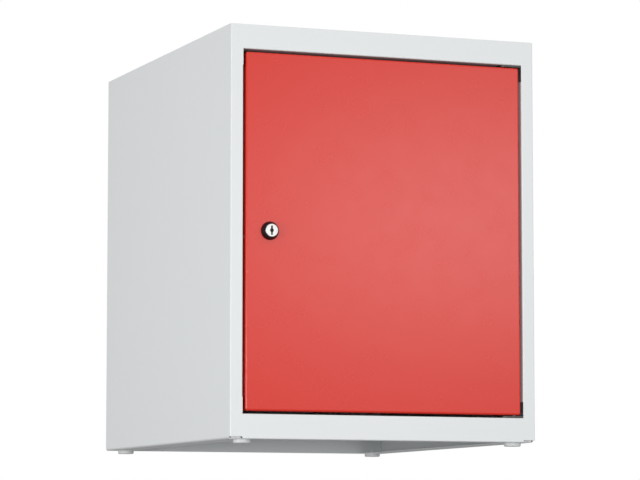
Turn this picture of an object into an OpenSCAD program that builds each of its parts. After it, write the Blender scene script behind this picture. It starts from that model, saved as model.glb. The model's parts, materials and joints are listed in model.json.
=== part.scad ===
// A one-door steel school locker that stands on four low feet.
// X runs across the front, Y from front to back, and Z up from the surface it stands on.

/* [Carcass] */
// Width over the side panels
carcass_w = 400; // [300:5:500]
// Depth from the front face to the back
carcass_d = 500; // [350:5:600]
// Height without the feet
carcass_h = 500; // [350:5:900]
// Thickness of every steel sheet
sheet_t = 0.8; // [0.7:0.1:1]
// Inside radius of every bend
bend_r = 0.6; // [0.5:0.1:1]
// Width of the frame's upright stiles
stile_w = 15.8; // [14:0.2:25]
// Height of the frame's top and bottom rails
rail_h = 30; // [24:1:60]
// Width of the flange that carries the feet
foot_flange_w = 34; // [32:1:45]

/* [Door] */
// Gap between the door and the frame, all round
door_gap = 3.5; // [3.5:0.1:4.5]
// Depth of the door's folded edge
door_d = 18; // [17:0.5:19]
// Inside radius of the bends round the door's front
door_bend_r = 1.4; // [0.6:0.1:1.4]
// Width of the lips on the door's rear edges
door_lip = 12; // [8:1:16]

/* [Hinge] */
// Distance of the hinge pins from the door's hinge edge
hinge_inset = 6.5; // [6.2:0.1:7]
// Distance of the hinge pins behind the door's front face
hinge_depth = 6; // [6:0.1:6.5]
// Diameter of the hinge pins
hinge_pin_d = 4.6; // [4:0.2:5]

/* [Lock] */
// Distance of the lock from the outer face of the latch side
lock_inset = 50; // [44:1:60]
// Diameter of the black rosette
rosette_d = 22.4; // [21:0.2:26]
// How far the lock stands out of the door
lock_proud = 8; // [6:0.5:8]
// Diameter of the lock housing
housing_d = 15.6; // [15.2:0.1:18]
// Diameter of the plug that the key turns
plug_d = 12.2; // [12:0.1:12.6]
// Length of the cam from the plug's axis to its tip
cam_l = 31; // [28:0.5:32]

/* [Feet] */
// Height of a foot
foot_h = 4.5; // [3:0.5:10]
// Diameter of a foot
foot_d = 21; // [16:1:24]
// Distance of a foot's centre from the side of the carcass
foot_inset_x = 22; // [16:1:22]
// Distance of a foot's centre from the front or the back
foot_inset_y = 20; // [16:1:40]

/* [Hidden] */
$fn = 64;

steel_grey = "#d5d8d9";
door_red = "#d8504a";
zinc = "#a9adb0";
dark_steel = "#4a4846";
nickel = "#e4e5e6";
black_plastic = "#1b1b1c";
black_rubber = "#2a2a2b";
foot_grey = "#c9cccd";

eps = 0.02;
bend_out = bend_r + sheet_t;

left = -carcass_w / 2;
front = -carcass_d / 2;
back = carcass_d / 2;
base = foot_h;
top = foot_h + carcass_h;
mid_z = foot_h + carcass_h / 2;

// The frame's opening
opening_x = carcass_w / 2 - stile_w;
sill_z = base + rail_h;
lintel_z = top - rail_h;
stile_lift = 2.8;
foot_bend_r = 1.9;
foot_tab_set = 5;
foot_gap = 0.5;
return_short = 20;
latch_return_d = 22;
hinge_return_d = 25;
latch_lip = 12.5;
hinge_lip = 10;

// The trays that make the top and the floor fit inside the side walls
tray_x = carcass_w / 2 - sheet_t;
tray_flange = 13;
rear_flange_w = 15;
tray_back = back - 2 * sheet_t;
rear_x = tray_x - bend_r;
rail_return_d = 21;
rail_lip = 8;
sill_return_d = 15;

// The door pan
door_left = left + stile_w + door_gap;
door_right = opening_x - door_gap;
door_bottom = sill_z + door_gap;
door_top = lintel_z - door_gap;
door_back = front + door_d;
pan_corner_r = door_bend_r + sheet_t + 0.5;
lip_short = 10;

// The hinge
hinge_x = door_right - hinge_inset;
hinge_y = front + hinge_depth;
pin_r = hinge_pin_d / 2;
pin_fit = 0.05;
bracket_t = 2.5;
bracket_nose_r = 5;
bracket_l = 26.5;
bracket_d = 18;
bush_r = 3.6;
bush_flange_r = 4.4;
bush_flange_t = 0.6;
bush_l = 9.5;
pin_reach = 14;
pin_head_r = 4;
pin_head_t = 2.2;
rivet_r = 1.5;
rivet_head_r = 2.8;
rivet_head_t = 1.2;
rivet_y = hinge_y + 8.5;
rivet_left = hinge_x - 12;
rivet_step = 17;

// The lock
lock_x = left + lock_inset;
lock_z = mid_z;
lock_face = front - lock_proud;
housing_r = housing_d / 2;
plug_r = plug_d / 2;
rosette_r = rosette_d / 2;
rosette_front_r = housing_r + 1;
rosette_rim_l = 1.2;
rosette_l = lock_proud - 0.8;
housing_back = door_back + 3.2;
nut_t = 4;
nut_across = 24;
cam_gap = 0.6;
cam_front = front + latch_return_d + sheet_t / 2 + cam_gap;
cam_t = 2;
cam_w = 14;
cam_hub_r = 9;
drive_w = 7;
washer_r = 6.5;
washer_t = 1;
cam_screw_head_r = 4;
cam_screw_head_t = 3;
cam_screw_r = 2;
cam_screw_l = 9;
keyhole_l = 11.2;
keyhole_w = 2.2;
keyhole_eye_r = 2.45;
keyhole_depth = 12;
key_face_inset = 0.35;

// The door buffers
buffer_r = 3.6;
buffer_x = left + stile_w + 8.5;
buffer_play = 0.4;
buffer_stem_r = 1.5;
buffer_bulb_r = 2.3;
buffer_bulb_t = 1.6;
buffer_rise = 140;

// The feet
foot_edge = 1;
foot_stem_r = 3;
foot_bulb_r = 4.2;
foot_bulb_t = 3;
foot_x = carcass_w / 2 - foot_inset_x;
foot_y = carcass_d / 2 - foot_inset_y;

// Wall fixing holes in the back
wall_hole_r = 3.5;
wall_hole_x = 120;
wall_hole_z = top - 60;

// Outline of a sheet folded square along the middle of its thickness
module folded(path, inside_r = bend_r) {
    last = len(path) - 1;
    sheet_r = inside_r + sheet_t / 2;
    for (i = [0:last - 1]) {
        step = path[i + 1] - path[i];
        run = norm(step);
        cut_in = i == 0 ? 0 : sheet_r;
        cut_out = i == last - 1 ? 0 : sheet_r;
        translate(path[i])
            rotate(atan2(step.y, step.x))
                translate([cut_in, -sheet_t / 2])
                    square([run - cut_in - cut_out, sheet_t]);
    }
    for (i = [1:last - 1])
        bend(path[i - 1], path[i], path[i + 1], inside_r);
}

// Quarter ring that joins two straight runs at a corner
module bend(before, corner, after, inside_r) {
    outside_r = inside_r + sheet_t;
    away_before = (before - corner) / norm(before - corner);
    away_after = (after - corner) / norm(after - corner);
    centre = corner + (inside_r + sheet_t / 2) * (away_before + away_after);
    quarter = [centre.x < corner.x ? 0 : -1, centre.y < corner.y ? 0 : -1] * outside_r;
    translate(centre)
        intersection() {
            difference() {
                circle(r = outside_r);
                circle(r = inside_r);
            }
            translate(quarter)
                square(outside_r);
        }
}

// Extrusion along X of an outline drawn in Y and Z
module along_x(from, to) {
    translate([from, 0, 0])
        rotate([90, 0, 90])
            linear_extrude(to - from)
                children();
}

// Extrusion along Y of an outline drawn in X and Z
module along_y(from, to) {
    translate([0, to, 0])
        rotate([90, 0, 0])
            linear_extrude(to - from)
                children();
}

// Extrusion along Z of an outline drawn in X and Y
module along_z(from, to) {
    translate([0, 0, from])
        linear_extrude(to - from)
            children();
}

// Cylinder that starts at a depth and runs back along Y
module rod_y(x, z, from, to, r) {
    translate([x, from, z])
        rotate([-90, 0, 0])
            cylinder(h = to - from, r = r);
}

// Places its children at every foot position
module at_feet() {
    for (x = [-foot_x, foot_x])
        for (y = [-foot_y, foot_y])
            translate([x, y, 0])
                children();
}

// Turns an upper hinge piece into the lower one
module lower() {
    translate([0, 0, 2 * mid_z])
        mirror([0, 0, 1])
            children();
}

// What a bend's roundness takes off the front top edge, drawn in Y and Z
module top_edge_waste() {
    difference() {
        translate([front - 1, top - bend_out])
            square(bend_out + 1);
        translate([front + bend_out, top - bend_out])
            circle(r = bend_out);
    }
}

// Side panel of the left, with a return of its own shape behind the stile
module side_panel(return_path) {
    wall_x = left + sheet_t / 2;
    face_y = front + sheet_t / 2;
    back_y = back - sheet_t / 2;
    stile_edge = left + stile_w;
    tab_x = left + foot_bend_r + sheet_t + foot_gap;
    tab_y = front + foot_tab_set;
    flange_y = tab_y - sheet_t / 2 + bend_out;
    flange_mid = base + sheet_t / 2;
    half_rail = base + rail_h / 2;
    wall_path = [[left + rear_flange_w, back_y], [wall_x, back_y], [wall_x, face_y]];
    difference() {
        union() {
            along_z(base + stile_lift, top)
                folded(concat(wall_path, [[stile_edge - bend_out, face_y]]));
            for (z = [[base + stile_lift, sill_z + return_short], [lintel_z - return_short, top]])
                along_z(z[0], z[1])
                    translate([stile_edge - bend_out, front])
                        square([bend_out, sheet_t]);
            along_z(sill_z + return_short, lintel_z - return_short)
                folded(concat([[stile_edge - 2 * bend_out, face_y]], return_path));
            along_y(flange_y, tray_back)
                folded([[left + foot_flange_w, flange_mid], [wall_x, flange_mid], [wall_x, half_rail]],
                       foot_bend_r);
            along_x(tab_x, stile_edge)
                folded([[flange_y + bend_out, flange_mid], [tab_y, flange_mid], [tab_y, half_rail]]);
        }
        translate([stile_edge, front, base - 1])
            cube([foot_flange_w, 2 * bend_out + foot_gap, sheet_t + 1 + eps]);
        along_x(left - 1, stile_edge + 1)
            top_edge_waste();
        at_feet()
            translate([0, 0, base - 1])
                cylinder(h = sheet_t + 2, r = foot_stem_r + eps);
        for (side = [-1, 1])
            rod_y(buffer_x, mid_z + side * buffer_rise, front + latch_return_d - 1,
                  front + latch_return_d + 1, buffer_stem_r + eps);
    }
}

// Left side, with the stop lip that the door closes against and the cam locks behind
module left_side_panel() {
    stile_x = left + stile_w - sheet_t / 2;
    lip_y = front + latch_return_d;
    color(steel_grey)
        side_panel([[stile_x, front + sheet_t / 2], [stile_x, lip_y], [stile_x + latch_lip, lip_y]]);
}

// Right side, whose return turns away from the door to leave its edge room to swing
module right_side_panel() {
    stile_x = left + stile_w - sheet_t / 2;
    lip_y = front + hinge_return_d;
    color(steel_grey)
        mirror([1, 0, 0])
            side_panel([[stile_x, front + sheet_t / 2], [stile_x, lip_y], [stile_x - hinge_lip, lip_y]]);
}

// Flat tray with its edges turned down, open towards the front
module tray(face_z) {
    middle_z = face_z - sheet_t / 2;
    edge_x = tray_x - sheet_t / 2;
    edge_y = tray_back - sheet_t / 2;
    flange_z = face_z - tray_flange;
    along_y(front + bend_out, tray_back - bend_out)
        folded([[-edge_x, flange_z], [-edge_x, middle_z], [edge_x, middle_z], [edge_x, flange_z]]);
    along_x(-tray_x + bend_out, tray_x - bend_out)
        folded([[edge_y - rail_h, middle_z], [edge_y, middle_z], [edge_y, flange_z]]);
}

// Top sheet with the frame's top rail
module top_panel() {
    face_y = front + sheet_t / 2;
    return_z = lintel_z + sheet_t / 2;
    return_y = front + rail_return_d;
    color(steel_grey)
        difference() {
            union() {
                tray(top);
                along_x(-opening_x, opening_x)
                    folded([[return_y, return_z + rail_lip],
                            [return_y, return_z],
                            [face_y, return_z],
                            [face_y, top - sheet_t / 2],
                            [front + rail_h, top - sheet_t / 2]]);
                for (x = [-tray_x + bend_r, opening_x])
                    translate([x, front + sheet_t, top - sheet_t])
                        cube([tray_x - bend_r - opening_x, bend_out, sheet_t]);
            }
            hinge_holes(lintel_z - 1, sheet_t + 2);
        }
}

// Floor sheet with the frame's bottom rail
module floor_panel() {
    face_y = front + sheet_t / 2;
    return_z = base + sheet_t / 2;
    return_x = carcass_w / 2 - foot_flange_w - foot_gap;
    color(steel_grey)
        difference() {
            union() {
                tray(sill_z);
                along_x(-opening_x, opening_x)
                    folded([[front + 2 * bend_out, return_z], [face_y, return_z],
                            [face_y, sill_z - sheet_t / 2], [front + rail_h, sill_z - sheet_t / 2]]);
                translate([-return_x, front + bend_out, base])
                    cube([2 * return_x, sill_return_d - bend_out, sheet_t]);
            }
            hinge_holes(sill_z - sheet_t - 1, sheet_t + 2);
        }
}

// Holes for one hinge pin and its bracket's rivets
module hinge_holes(from_z, deep) {
    translate([hinge_x, hinge_y, from_z])
        cylinder(h = deep, r = pin_r + eps);
    at_rivets(from_z)
        cylinder(h = deep, r = rivet_r + eps);
}

// Places its children at both rivets of a hinge bracket
module at_rivets(z) {
    for (x = [rivet_left, rivet_left + rivet_step])
        translate([x, rivet_y, z])
            children();
}

// Back sheet, which runs down past the floor as a skirt
module rear_panel() {
    color(steel_grey)
        difference() {
            translate([-rear_x, tray_back, base])
                cube([2 * rear_x, sheet_t, carcass_h]);
            for (x = [-wall_hole_x, wall_hole_x])
                rod_y(x, wall_hole_z, tray_back - 1, back, wall_hole_r);
        }
}

// Plate under the top rail that holds the upper hinge pin
module upper_hinge_bracket() {
    plate_y = hinge_y - bracket_nose_r;
    plate_x = opening_x - 0.5 - bracket_l;
    color(dark_steel)
        difference() {
            along_z(lintel_z - bracket_t, lintel_z)
                union() {
                    translate([plate_x + bracket_nose_r, hinge_y])
                        circle(r = bracket_nose_r);
                    translate([plate_x + bracket_nose_r, plate_y])
                        square([bracket_l - bracket_nose_r, bracket_d]);
                    translate([plate_x, hinge_y])
                        square([bracket_nose_r, bracket_d - bracket_nose_r]);
                }
            hinge_holes(lintel_z - bracket_t - 1, bracket_t + 2);
        }
}

// The same plate on the floor, for the lower hinge pin
module lower_hinge_bracket() {
    lower()
        upper_hinge_bracket();
}

// Headed pin that hangs from the top rail into the door's bush
module upper_hinge_pin() {
    tip = 0.8;
    bottom = lintel_z - pin_reach;
    color(zinc) {
        translate([hinge_x, hinge_y, bottom])
            cylinder(h = tip, r1 = pin_r - tip, r2 = pin_r);
        translate([hinge_x, hinge_y, bottom + tip])
            cylinder(h = pin_reach - tip + sheet_t, r = pin_r);
        translate([hinge_x, hinge_y, lintel_z + sheet_t])
            cylinder(h = pin_head_t, r = pin_head_r);
    }
}

// The same pin, standing up from under the floor
module lower_hinge_pin() {
    lower()
        upper_hinge_pin();
}

// Plastic bush in the door's top edge, with a thrust flange
module upper_hinge_bush() {
    color(black_plastic)
        translate([hinge_x, hinge_y, door_top])
            difference() {
                union() {
                    translate([0, 0, -bush_l])
                        cylinder(h = bush_l, r = bush_r);
                    cylinder(h = bush_flange_t, r = bush_flange_r);
                }
                translate([0, 0, -bush_l - 1])
                    cylinder(h = bush_l + bush_flange_t + 2, r = pin_r + pin_fit);
            }
}

// The same bush in the door's bottom edge
module lower_hinge_bush() {
    lower()
        upper_hinge_bush();
}

// Two rivets on each hinge bracket, flush with the plate and headed inside the rail
module rivet_pair() {
    at_rivets(lintel_z - bracket_t) {
        cylinder(h = bracket_t + sheet_t, r = rivet_r);
        translate([0, 0, bracket_t + sheet_t])
            cylinder(h = rivet_head_t, r1 = rivet_head_r, r2 = rivet_head_r - 0.8);
    }
}

module hinge_rivets() {
    color(zinc) {
        rivet_pair();
        lower()
            rivet_pair();
    }
}

// One folded edge of the door pan, drawn as inward distance and depth
module pan_edge(reach) {
    inset = sheet_t / 2;
    folded([[reach, inset], [inset, inset], [inset, door_d - bend_out]], door_bend_r);
}

// Lip along an upright edge of the pan, drawn as inward distance and depth
module pan_lip() {
    inset = sheet_t / 2;
    rim = door_d - inset;
    folded([[inset, door_d / 2], [inset, rim], [door_lip, rim]]);
}

// The latch edge of the pan as it stands, or turned over to be the hinge edge
module both_edges() {
    for (side = [0, 1])
        translate([side * (door_left + door_right), 0, 0])
            mirror([side, 0, 0])
                translate([door_left, front, 0])
                    children();
}

// Bottom edge of the pan and the two rounded corners at its ends
module pan_end() {
    along_x(door_left + pan_corner_r, door_right - pan_corner_r)
        translate([front, door_bottom])
            mirror([1, -1])
                pan_edge(pan_corner_r);
    both_edges()
        translate([pan_corner_r, 0, door_bottom + pan_corner_r])
            rotate([-90, 90, 0])
                rotate_extrude(angle = 90)
                    intersection() {
                        square([pan_corner_r, door_d]);
                        translate([pan_corner_r, 0])
                            mirror([1, 0])
                                pan_edge(2 * pan_corner_r);
                    }
}

// Door skin, a pan with closed corners and lips along its two upright edges
module door_skin() {
    face_w = door_right - door_left - 2 * pan_corner_r;
    face_h = door_top - door_bottom - 2 * pan_corner_r;
    color(door_red)
        difference() {
            union() {
                translate([door_left + pan_corner_r, front, door_bottom + pan_corner_r])
                    cube([face_w, sheet_t, face_h]);
                both_edges()
                    along_z(door_bottom + pan_corner_r, door_top - pan_corner_r)
                        pan_edge(pan_corner_r);
                both_edges()
                    along_z(door_bottom + lip_short, door_top - lip_short)
                        pan_lip();
                pan_end();
                lower()
                    pan_end();
            }
            rod_y(lock_x, lock_z, front - 1, front + 1 + sheet_t, housing_r + eps);
            for (z = [door_bottom - 1, door_top - sheet_t - 1])
                translate([hinge_x, hinge_y, z])
                    cylinder(h = sheet_t + 2, r = bush_r + eps);
        }
}

// Hat section behind the middle of the skin
module door_stiffener() {
    foot_y0 = front + 1.5 * sheet_t;
    crown_y = door_back - sheet_t / 2;
    crown = 25;
    brim = 42;
    color(door_red)
        along_z(door_bottom + 2 * door_lip, door_top - 2 * door_lip)
            folded([[-brim, foot_y0], [-crown, foot_y0], [-crown, crown_y],
                    [crown, crown_y], [crown, foot_y0], [brim, foot_y0]]);
}

// Fixed barrel of the lock
module lock_housing() {
    rim = 0.4;
    color(nickel)
        difference() {
            union() {
                translate([lock_x, lock_face + rim, lock_z])
                    rotate([90, 0, 0])
                        cylinder(h = rim, r1 = housing_r, r2 = housing_r - rim);
                rod_y(lock_x, lock_z, lock_face + rim, housing_back, housing_r);
            }
            rod_y(lock_x, lock_z, lock_face - 1, housing_back + 1, plug_r + pin_fit);
        }
}

// Black tapered collar in front of the door skin
module lock_rosette() {
    color(black_plastic)
        translate([lock_x, front, lock_z])
            rotate([90, 0, 0])
                difference() {
                    rotate_extrude()
                        polygon([[0, 0], [rosette_r, 0], [rosette_r, rosette_rim_l],
                                 [rosette_front_r, rosette_l], [0, rosette_l]]);
                    translate([0, 0, -1])
                        cylinder(h = rosette_l + 2, r = housing_r + eps);
                }
}

// Hexagon nut that clamps the housing behind the skin
module lock_nut() {
    nut_r = nut_across / sqrt(3);
    color(zinc)
        difference() {
            translate([lock_x, front + sheet_t, lock_z])
                rotate([-90, 0, 0])
                    cylinder(h = nut_t, r = nut_r, $fn = 6);
            rod_y(lock_x, lock_z, front, front + sheet_t + nut_t + 1, housing_r + eps);
        }
}

// Keyed plug, with the square at its back that drives the cam
module lock_plug() {
    key_face = lock_face + key_face_inset;
    slot_r = keyhole_w / 2;
    color(nickel)
        difference() {
            union() {
                rod_y(lock_x, lock_z, key_face, cam_front, plug_r);
                translate([lock_x - drive_w / 2, cam_front, lock_z - drive_w / 2])
                    cube([drive_w, cam_t, drive_w]);
            }
            rod_y(lock_x, lock_z, key_face - 1, key_face + keyhole_depth, keyhole_eye_r);
            translate([lock_x - slot_r, key_face - 1, lock_z - keyhole_l / 2])
                cube([keyhole_w, keyhole_depth + 1, keyhole_l]);
            rod_y(lock_x, lock_z, cam_front + cam_t - cam_screw_l, cam_front + cam_t + 1,
                  cam_screw_r + eps);
        }
}

// Cam, hanging down when unlocked
module lock_cam() {
    tip_r = cam_w / 2;
    fit = 0.05;
    color(zinc)
        translate([lock_x, cam_front + cam_t, lock_z])
            rotate([90, 0, 0])
                difference() {
                    linear_extrude(cam_t) {
                        circle(r = cam_hub_r);
                        translate([-cam_w / 2, -cam_l + tip_r])
                            square([cam_w, cam_l - tip_r]);
                        translate([0, -cam_l + tip_r])
                            circle(r = tip_r);
                    }
                    translate([-drive_w / 2 - fit, -drive_w / 2 - fit, -1])
                        cube([drive_w + 2 * fit, drive_w + 2 * fit, cam_t + 2]);
                }
}

// Washer between the cam and its screw
module cam_washer() {
    from = cam_front + cam_t;
    color(zinc)
        difference() {
            rod_y(lock_x, lock_z, from, from + washer_t, washer_r);
            rod_y(lock_x, lock_z, from - 1, from + washer_t + 1, cam_screw_r + eps);
        }
}

// Cross-slotted screw that holds the cam on the plug
module cam_screw() {
    from = cam_front + cam_t;
    head_from = from + washer_t;
    head_to = head_from + cam_screw_head_t;
    slot_w = 1;
    color(zinc)
        difference() {
            union() {
                rod_y(lock_x, lock_z, from - cam_screw_l + 1, head_from, cam_screw_r);
                rod_y(lock_x, lock_z, head_from, head_to, cam_screw_head_r);
            }
            for (turn = [0, 90])
                translate([lock_x, head_to, lock_z])
                    rotate([0, turn, 0])
                        cube([5, 3, slot_w], center = true);
        }
}

// Rubber buffer pushed through the stop lip
module door_buffer(z) {
    lip_front = front + latch_return_d - sheet_t / 2;
    lip_back = lip_front + sheet_t;
    pad_front = door_back + buffer_play;
    color(black_rubber) {
        rod_y(buffer_x, z, pad_front, lip_front, buffer_r);
        rod_y(buffer_x, z, lip_front, lip_back, buffer_stem_r);
        rod_y(buffer_x, z, lip_back, lip_back + buffer_bulb_t, buffer_bulb_r);
    }
}

module upper_door_buffer() {
    door_buffer(mid_z + buffer_rise);
}

module lower_door_buffer() {
    door_buffer(mid_z - buffer_rise);
}

// Round foot with a stem that snaps into the foot flange
module foot(side_x, side_y) {
    foot_r = foot_d / 2;
    flange_top = foot_h + sheet_t;
    color(foot_grey)
        translate([side_x * foot_x, side_y * foot_y, 0])
            rotate_extrude()
                polygon([[0, 0], [foot_r - foot_edge, 0], [foot_r, foot_edge], [foot_r, foot_h],
                         [foot_stem_r, foot_h], [foot_stem_r, flange_top],
                         [foot_bulb_r, flange_top], [foot_stem_r - 1, flange_top + foot_bulb_t],
                         [0, flange_top + foot_bulb_t]]);
}

module foot_front_left() {
    foot(-1, -1);
}

module foot_front_right() {
    foot(1, -1);
}

module foot_rear_left() {
    foot(-1, 1);
}

module foot_rear_right() {
    foot(1, 1);
}

left_side_panel();
right_side_panel();
top_panel();
floor_panel();
rear_panel();
upper_hinge_bracket();
lower_hinge_bracket();
upper_hinge_pin();
lower_hinge_pin();
upper_hinge_bush();
lower_hinge_bush();
hinge_rivets();
door_skin();
door_stiffener();
lock_housing();
lock_rosette();
lock_nut();
lock_plug();
lock_cam();
cam_washer();
cam_screw();
upper_door_buffer();
lower_door_buffer();
foot_front_left();
foot_front_right();
foot_rear_left();
foot_rear_right();
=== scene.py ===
"""The looks of a one-door steel school locker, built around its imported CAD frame."""

import json
import math

import bmesh
import bpy
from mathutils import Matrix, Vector


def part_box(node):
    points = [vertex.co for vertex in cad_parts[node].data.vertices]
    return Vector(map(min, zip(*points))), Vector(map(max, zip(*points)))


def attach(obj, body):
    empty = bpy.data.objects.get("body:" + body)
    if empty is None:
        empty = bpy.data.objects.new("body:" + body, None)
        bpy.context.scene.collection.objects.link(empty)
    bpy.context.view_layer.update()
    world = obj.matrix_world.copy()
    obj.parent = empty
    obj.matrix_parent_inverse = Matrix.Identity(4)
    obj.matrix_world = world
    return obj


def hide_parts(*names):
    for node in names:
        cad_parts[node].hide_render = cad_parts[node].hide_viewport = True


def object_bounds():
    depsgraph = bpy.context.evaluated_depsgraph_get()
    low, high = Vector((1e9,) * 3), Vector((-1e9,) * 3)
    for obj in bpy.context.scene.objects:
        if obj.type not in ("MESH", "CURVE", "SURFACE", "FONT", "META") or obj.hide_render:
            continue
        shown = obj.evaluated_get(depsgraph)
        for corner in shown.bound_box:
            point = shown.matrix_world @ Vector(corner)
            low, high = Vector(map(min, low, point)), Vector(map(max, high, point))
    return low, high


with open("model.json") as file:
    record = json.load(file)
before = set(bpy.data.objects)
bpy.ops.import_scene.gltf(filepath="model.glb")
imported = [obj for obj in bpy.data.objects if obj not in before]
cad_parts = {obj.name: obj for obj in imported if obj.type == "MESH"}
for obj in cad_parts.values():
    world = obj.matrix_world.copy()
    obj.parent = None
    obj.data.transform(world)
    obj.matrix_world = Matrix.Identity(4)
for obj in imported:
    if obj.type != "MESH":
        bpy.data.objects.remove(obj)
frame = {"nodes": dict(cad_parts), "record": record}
CAD_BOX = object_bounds()
LOW, HIGH = CAD_BOX
CENTRE = (LOW + HIGH) / 2
MM = 0.001

# The camera stands in front and to the left, a little below the locker's base, and looks up at it.
CAMERA_PLACE = Vector((-1.395, -3.632, -0.122))
CAMERA_YAW = math.radians(21.17)
CAMERA_RISE = math.radians(5.79)
CAMERA_LENS = 169.5
SENSOR_WIDTH = 36.0

# The floor is far enough down to stay under the camera.
FLOOR_DROP = 0.55
FLOOR_SIZE = 30.0
FLOOR_GREY = 0.38

# The world's strength as the camera sees it, and as it lights the locker.
BACKGROUND = 1.0
ROOM_LIGHT = 0.82
NARROW_SPREAD = 80.0


# Node helpers


def start_material(name):
    """A fresh node material with its Principled shader."""
    material = bpy.data.materials.new(name)
    material.use_nodes = True
    return material, material.node_tree, material.node_tree.nodes["Principled BSDF"]


def node(tree, kind, settings=None, **inputs):
    """Adds a node. A value that is a socket is linked, anything else is set on the input."""
    made = tree.nodes.new(kind)
    for key, value in (settings or {}).items():
        setattr(made, key, value)
    for key, value in inputs.items():
        socket = made.inputs[int(key[1:])] if key[0] == "_" else made.inputs[key]
        if isinstance(value, bpy.types.NodeSocket):
            tree.links.new(value, socket)
        else:
            socket.default_value = value
    return made


def rgba(colour):
    return (*colour, 1.0)


def noise(tree, scale, detail, roughness=0.5):
    """Noise in the piece's own space, in features per metre, as its grey value from 0 to 1."""
    place = node(tree, "ShaderNodeTexCoord")
    made = node(tree, "ShaderNodeTexNoise", _0=place.outputs["Object"],
                Scale=scale, Detail=detail, Roughness=roughness)
    return made.outputs[0]


def remap(tree, value, low, high, to_low, to_high):
    made = node(tree, "ShaderNodeMapRange", Value=value)
    for index, number in enumerate((low, high, to_low, to_high), start=1):
        made.inputs[index].default_value = number
    return made.outputs[0]


def mix_colour(tree, amount, first, second):
    made = node(tree, "ShaderNodeMix", {"data_type": "RGBA"})
    for index, value in ((0, amount), (6, first), (7, second)):
        if isinstance(value, bpy.types.NodeSocket):
            tree.links.new(value, made.inputs[index])
        else:
            made.inputs[index].default_value = rgba(value)
    return made.outputs[2]


def multiply(tree, first, second):
    return node(tree, "ShaderNodeMath", {"operation": "MULTIPLY"}, _0=first, _1=second).outputs[0]


def edge_mask(tree, radius, low, high):
    """1 on sharp edges and tight bends, 0 on flat stretches, from a rounded normal's lean."""
    rounded = node(tree, "ShaderNodeBevel", {"samples": 4}, Radius=radius)
    flat = node(tree, "ShaderNodeNewGeometry")
    lean = node(tree, "ShaderNodeVectorMath", {"operation": "DOT_PRODUCT"},
                _0=rounded.outputs[0], _1=flat.outputs["True Normal"])
    return remap(tree, lean.outputs["Value"], high, low, 0.0, 1.0)


def bump(tree, height, strength, distance):
    made = node(tree, "ShaderNodeBump", Strength=strength, Distance=distance, Height=height)
    return made.outputs[0]


def scaled(colour, factor):
    return tuple(min(1.0, channel * factor) for channel in colour)


# Materials


def powder_coat(name, colour, roughness):
    """Baked powder coat: fine orange peel, slight clouding, and bends painted lighter in flecks,
    partly a thinner worn film and partly a painted highlight.
    """
    material, tree, shader = start_material(name)
    cloud = noise(tree, 7.0, 3.0)
    clouded = mix_colour(tree, cloud, scaled(colour, 0.99), scaled(colour, 1.01))
    fleck = remap(tree, noise(tree, 260.0, 2.0), 0.35, 0.75, 0.0, 1.0)
    # Bends and sharp edges painted lighter: partly thin worn coat, partly a painted highlight on
    # the bends.
    worn_and_highlit_bends = multiply(tree, edge_mask(tree, 0.7 * MM, 0.55, 0.97), fleck)
    wear = remap(tree, worn_and_highlit_bends, 0.0, 1.0, 0.0, 0.3)
    finished = mix_colour(tree, wear, clouded, scaled(colour, 1.25))
    tree.links.new(finished, shader.inputs["Base Color"])
    patches = noise(tree, 35.0, 4.0)
    gloss = remap(tree, patches, 0.3, 0.7, roughness - 0.008, roughness + 0.008)
    tree.links.new(gloss, shader.inputs["Roughness"])
    peel = noise(tree, 620.0, 2.0, 0.45)
    tree.links.new(bump(tree, peel, 0.27, 0.12 * MM), shader.inputs["Normal"])
    shader.inputs["Specular IOR Level"].default_value = 0.5
    return material


def plated_metal(name, colour, roughness):
    """Plated or dark steel: faint fine grain, dull patches and lighter rubbed edges."""
    material, tree, shader = start_material(name)
    patches = noise(tree, 90.0, 4.0, 0.6)
    toned = mix_colour(tree, patches, scaled(colour, 0.94), scaled(colour, 1.05))
    rubbed = edge_mask(tree, 0.5 * MM, 0.5, 0.95)
    wear = remap(tree, rubbed, 0.0, 1.0, 0.0, 0.6)
    finished = mix_colour(tree, wear, toned, scaled(colour, 1.2))
    tree.links.new(finished, shader.inputs["Base Color"])
    grain = noise(tree, 1500.0, 3.0, 0.6)
    gloss = remap(tree, grain, 0.3, 0.7, roughness - 0.07, roughness + 0.09)
    tree.links.new(gloss, shader.inputs["Roughness"])
    tree.links.new(bump(tree, grain, 0.25, 0.03 * MM), shader.inputs["Normal"])
    shader.inputs["Metallic"].default_value = 1.0
    return material


def moulded(name, colour, roughness, texture_scale, specular):
    """Moulded plastic or rubber: fine spark-eroded texture, and edges painted lighter, partly
    rubbed wear and partly a painted sheen.
    """
    material, tree, shader = start_material(name)
    tone = noise(tree, 220.0, 3.0)
    toned = mix_colour(tree, tone, scaled(colour, 0.85), scaled(colour, 1.15))
    # Edges painted lighter: partly rubbed wear, partly a painted sheen.
    rubbed = edge_mask(tree, 0.4 * MM, 0.5, 0.95)
    wear = remap(tree, rubbed, 0.0, 1.0, 0.0, 0.35)
    finished = mix_colour(tree, wear, toned, scaled(colour, 1.8))
    tree.links.new(finished, shader.inputs["Base Color"])
    gloss = remap(tree, tone, 0.3, 0.7, roughness - 0.05, roughness + 0.06)
    tree.links.new(gloss, shader.inputs["Roughness"])
    grain = noise(tree, texture_scale, 3.0, 0.6)
    tree.links.new(bump(tree, grain, 0.3, 0.04 * MM), shader.inputs["Normal"])
    shader.inputs["Specular IOR Level"].default_value = specular
    return material


def plain_stage(name, colour):
    material, _, shader = start_material(name)
    shader.inputs["Base Color"].default_value = rgba(colour)
    shader.inputs["Roughness"].default_value = 0.9
    return material


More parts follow.
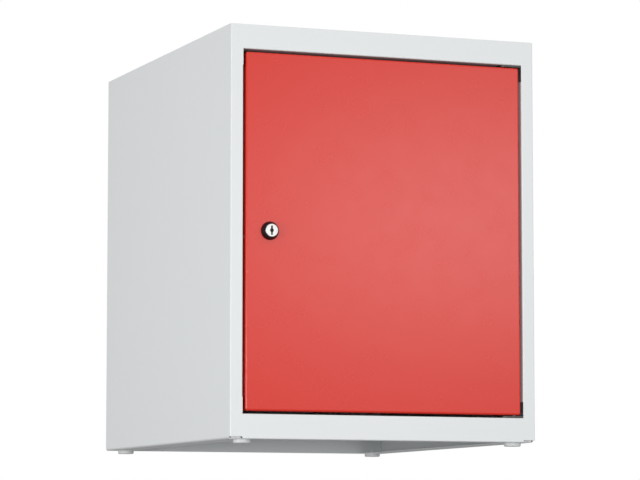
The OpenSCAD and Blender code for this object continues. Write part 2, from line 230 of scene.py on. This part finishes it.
FINISHES = {
    "grey_powder_coat": powder_coat("grey_powder_coat_look", (0.66, 0.68, 0.685), 0.42),
    "red_powder_coat": powder_coat("red_powder_coat_look", (0.575, 0.017, 0.005), 0.27),
    "dark_steel": plated_metal("dark_steel_look", (0.09, 0.085, 0.08), 0.5),
    "zinc_plate": plated_metal("zinc_plate_look", (0.62, 0.63, 0.64), 0.34),
    "nickel_plate": plated_metal("nickel_plate_look", (0.68, 0.68, 0.665), 0.42),
    # Near-black keyway finish: painted shade for the dark inside of the keyhole.
    "keyway_steel": plated_metal("keyway_painted_shade_look", (0.03, 0.034, 0.033), 0.55),
    "black_plastic": moulded("black_plastic_look", (0.006, 0.006, 0.007), 0.4, 1400.0, 0.22),
    "black_rubber": moulded("black_rubber_look", (0.02, 0.02, 0.02), 0.75, 900.0, 0.35),
    "grey_plastic": moulded("grey_plastic_look", (0.66, 0.675, 0.68), 0.5, 1100.0, 0.5),
}


def finish_cad_nodes():
    """Gives every CAD node the finish of its slot in the record."""
    slots = {row["node"]: row["material_slot"] for row in frame["record"]["subparts"]}
    for name, piece in frame["nodes"].items():
        piece.data.materials.clear()
        piece.data.materials.append(FINISHES[slots[name]])


# Extra pieces

SHARP_ANGLE = math.radians(40)
BEVEL_ANGLE = math.radians(50)
WELD_DISTANCE = 1e-6
SHEET = 0.8 * MM
DOOR_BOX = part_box("door_skin")
LOCK_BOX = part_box("lock_housing")
LOCK_X = (LOCK_BOX[0].x + LOCK_BOX[1].x) / 2
LOCK_Z = (LOCK_BOX[0].z + LOCK_BOX[1].z) / 2
LOCK_FACE = LOCK_BOX[0].y


def make_piece(name, points, faces, finish, body, closed=True):
    """A mesh object with its finish, smooth except at sharp edges, that rides on a body."""
    mesh = bpy.data.meshes.new(name)
    mesh.from_pydata([tuple(point) for point in points], [], faces)
    if closed:
        shape = bmesh.new()
        shape.from_mesh(mesh)
        bmesh.ops.recalc_face_normals(shape, faces=shape.faces)
        shape.to_mesh(mesh)
        shape.free()
    mesh.materials.append(FINISHES[finish])
    mesh.shade_smooth()
    mesh.set_sharp_from_angle(angle=SHARP_ANGLE)
    piece = bpy.data.objects.new(name, mesh)
    bpy.context.collection.objects.link(piece)
    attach(piece, body)
    return piece


def soften_edges(names, width):
    """Breaks the sharp edges of CAD nodes with a small rounding."""
    for name in names:
        modifiers = frame["nodes"][name].modifiers
        modifiers.new("weld", "WELD").merge_threshold = WELD_DISTANCE
        bevel = modifiers.new("edge_break", "BEVEL")
        bevel.width, bevel.segments = width, 2
        bevel.limit_method, bevel.angle_limit = "ANGLE", BEVEL_ANGLE


def grid_faces(rows, columns):
    """Quads between successive rings of points, each ring closed on itself."""
    faces = []
    for row in range(rows - 1):
        for column in range(columns):
            after = (column + 1) % columns
            start = row * columns
            above = start + columns
            faces.append((start + column, start + after, above + after, above + column))
    return faces


def lock_ring(y, radius_at, steps):
    """Points round the lock's axis at depth y, with a radius for each step."""
    turns = [math.tau * i / steps for i in range(steps)]
    return [(LOCK_X + radius_at(i) * math.cos(a), y, LOCK_Z + radius_at(i) * math.sin(a))
            for i, a in enumerate(turns)]


def make_threaded_barrel():
    """The lock's barrel with its screw thread behind the skin, in place of the plain one."""
    steps, rows_per_turn = 48, 8
    fade_in, fade_out = 8, 6
    pitch, depth = 1.0 * MM, 0.42 * MM
    fit, front_break, back_break = 0.05 * MM, 0.4 * MM, 0.5 * MM
    outer = (LOCK_BOX[1].x - LOCK_BOX[0].x) / 2
    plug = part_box("lock_plug")
    bore = (plug[1].x - plug[0].x) / 2 + fit
    thread_from = DOOR_BOX[0].y + 1.2 * MM
    back = LOCK_BOX[1].y
    count = int((back - thread_from) / (pitch / rows_per_turn))
    points = []
    for y, radius in ((LOCK_FACE, bore), (LOCK_FACE, outer - front_break),
                      (LOCK_FACE + front_break, outer), (thread_from, outer)):
        points += lock_ring(y, lambda i: radius, steps)
    for row in range(1, count):
        y = thread_from + row * pitch / rows_per_turn
        fade = min(1.0, row / fade_in, (count - row) / fade_out)

        def thread_radius(i):
            phase = ((y - thread_from) / pitch + i / steps) % 1.0
            return outer - fade * depth * abs(2 * phase - 1)

        points += lock_ring(y, thread_radius, steps)
    for y, radius in ((back, outer - back_break), (back, bore), (LOCK_FACE, bore)):
        points += lock_ring(y, lambda i: radius, steps)
    faces = grid_faces(len(points) // steps, steps)
    barrel = make_piece("lock_barrel_threaded", points, faces, "nickel_plate", "door")
    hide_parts("lock_housing")


def make_keyway():
    """The warded inside of the keyhole, a little behind the plug's face, given a near-black finish
    as painted shade for the keyhole's dark depth.
    """
    half_w, half_l, eye = 1.06 * MM, 5.56 * MM, 2.4 * MM
    left_ward, right_ward = -0.35 * MM, 0.3 * MM
    front, back = LOCK_FACE + 1.6 * MM, LOCK_FACE + 11.5 * MM
    arc_from, arc_sweep, arc_steps = 0.62, 0.76, 10
    turns = [math.pi * (arc_from + arc_sweep * i / arc_steps) for i in range(arc_steps + 1)]
    outline = [(half_w, half_l), (-half_w, half_l), (-half_w, 4.2 * MM),
               (left_ward, 3.6 * MM), (left_ward, 2.9 * MM), (-half_w, 2.3 * MM)]
    outline += [(eye * math.cos(a), eye * math.sin(a)) for a in turns]
    outline += [(-half_w, -2.3 * MM), (-half_w, -half_l), (half_w, -half_l), (half_w, -3.9 * MM),
                (right_ward, -3.3 * MM), (right_ward, -2.7 * MM), (half_w, -2.2 * MM)]
    outline += [(-eye * math.cos(a), -eye * math.sin(a)) for a in turns]
    outline += [(half_w, 2.2 * MM)]
    count = len(outline)
    points = [(LOCK_X + x, y, LOCK_Z + z) for y in (front, back) for x, z in outline]
    faces = [tuple(range(count)), tuple(range(2 * count - 1, count - 1, -1))]
    faces += grid_faces(2, count)
    make_piece("keyway_wards", points, faces, "keyway_steel", "lock_core")


def make_spot_welds(name, places, finish, body):
    """Round electrode marks: a low ring with a dished middle, at (place, normal) pairs."""
    *rings, (_, middle_height) = ((2.7, 0.0), (2.3, 0.09), (1.8, 0.1), (1.3, 0.05), (0.0, 0.03))
    steps = 20
    points, faces = [], []
    for place, normal in places:
        normal = Vector(normal)
        across = normal.orthogonal().normalized()
        up = normal.cross(across)
        first = len(points)
        for radius, height in rings:
            for i in range(steps):
                angle = math.tau * i / steps
                spoke = across * math.cos(angle) + up * math.sin(angle)
                points.append(Vector(place) + spoke * radius * MM + normal * height * MM)
        points.append(Vector(place) + normal * middle_height * MM)
        faces += [tuple(first + v for v in face) for face in grid_faces(len(rings), steps)]
        last_ring = first + (len(rings) - 1) * steps
        faces += [(last_ring + i, last_ring + (i + 1) % steps, len(points) - 1)
                  for i in range(steps)]
    make_piece(name, points, faces, finish, body, closed=False)


def make_weld_marks():
    """Spot-weld rows that join the sheets, seen with the door open."""
    rows = 6
    stiffener_inset, rear_inset = 8 * MM, 7 * MM
    rear_start, rear_spacing = 60 * MM, 76 * MM
    low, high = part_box("door_stiffener")
    brims = (low.x + stiffener_inset, high.x - stiffener_inset)
    heights = [low.z + (high.z - low.z) * (i + 0.5) / rows for i in range(rows)]
    places = [((x, low.y + SHEET, z), (0, 1, 0)) for x in brims for z in heights]
    make_spot_welds("stiffener_spot_welds", places, "red_powder_coat", "door")
    low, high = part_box("rear_panel")
    edges = (low.x + rear_inset, high.x - rear_inset)
    heights = [low.z + rear_start + i * rear_spacing for i in range(rows)]
    places = [((x, low.y, z), (0, -1, 0)) for x in edges for z in heights]
    make_spot_welds("rear_spot_welds", places, "grey_powder_coat", "carcass")


def soften_small_parts():
    soften_edges(("upper_hinge_bracket", "lower_hinge_bracket", "lock_nut", "lock_cam",
                  "cam_washer"), 0.25 * MM)
    soften_edges(("lock_plug", "cam_screw", "lock_rosette"), 0.15 * MM)


# Stage, light and camera


def make_floor():
    place = (CENTRE.x, CENTRE.y, LOW.z - FLOOR_DROP)
    bpy.ops.mesh.primitive_plane_add(size=FLOOR_SIZE, location=place)
    floor = bpy.context.object
    floor.name = "studio_floor"
    floor.data.materials.append(plain_stage("studio_floor_look", (FLOOR_GREY,) * 3))


def softbox(name, place, aim, width, height, power, spread=180.0):
    """A rectangular area light of a size in metres, a power in watts and a spread in degrees."""
    data = bpy.data.lights.new(name, "AREA")
    data.shape = "RECTANGLE"
    data.spread = math.radians(spread)
    data.size, data.size_y, data.energy = width, height, power
    lamp = bpy.data.objects.new(name, data)
    lamp.location = place
    lamp.rotation_euler = (Vector(aim) - Vector(place)).to_track_quat("-Z", "Y").to_euler()
    bpy.context.collection.objects.link(lamp)


def make_light():
    world = bpy.data.worlds.new("studio")
    world.use_nodes = True
    tree = world.node_tree
    backdrop = tree.nodes["Background"]
    backdrop.inputs[0].default_value = rgba((1, 1, 1))
    seen = node(tree, "ShaderNodeLightPath").outputs["Is Camera Ray"]
    tree.links.new(remap(tree, seen, 0.0, 1.0, ROOM_LIGHT, BACKGROUND), backdrop.inputs[1])
    bpy.context.scene.world = world
    softbox("mirrored_softbox", (1.48, -3.37, 0.64), (0.05, -0.25, 0.26), 1.0, 0.25, 9)
    softbox("left_fill", (-2.8, -1.3, -0.05), CENTRE, 2.0, 0.9, 6.7, NARROW_SPREAD)
    softbox("camera_fill", (-0.85, -3.4, 0.02), CENTRE, 1.0, 0.3, 6.6, NARROW_SPREAD)
    softbox("high_strip", (0.5, -2.3, 2.5), CENTRE, 2.0, 0.4, 1.2, NARROW_SPREAD)


def make_camera():
    data = bpy.data.cameras.new("camera")
    data.lens, data.sensor_width = CAMERA_LENS, SENSOR_WIDTH
    camera = bpy.data.objects.new("camera", data)
    camera.location = CAMERA_PLACE
    camera.rotation_euler = (math.pi / 2 + CAMERA_RISE, 0.0, -CAMERA_YAW)
    bpy.context.collection.objects.link(camera)
    bpy.context.scene.camera = camera


finish_cad_nodes()
make_threaded_barrel()
make_keyway()
make_weld_marks()
soften_small_parts()
make_floor()
make_light()
make_camera()
bpy.context.scene.view_settings.view_transform = "Standard"
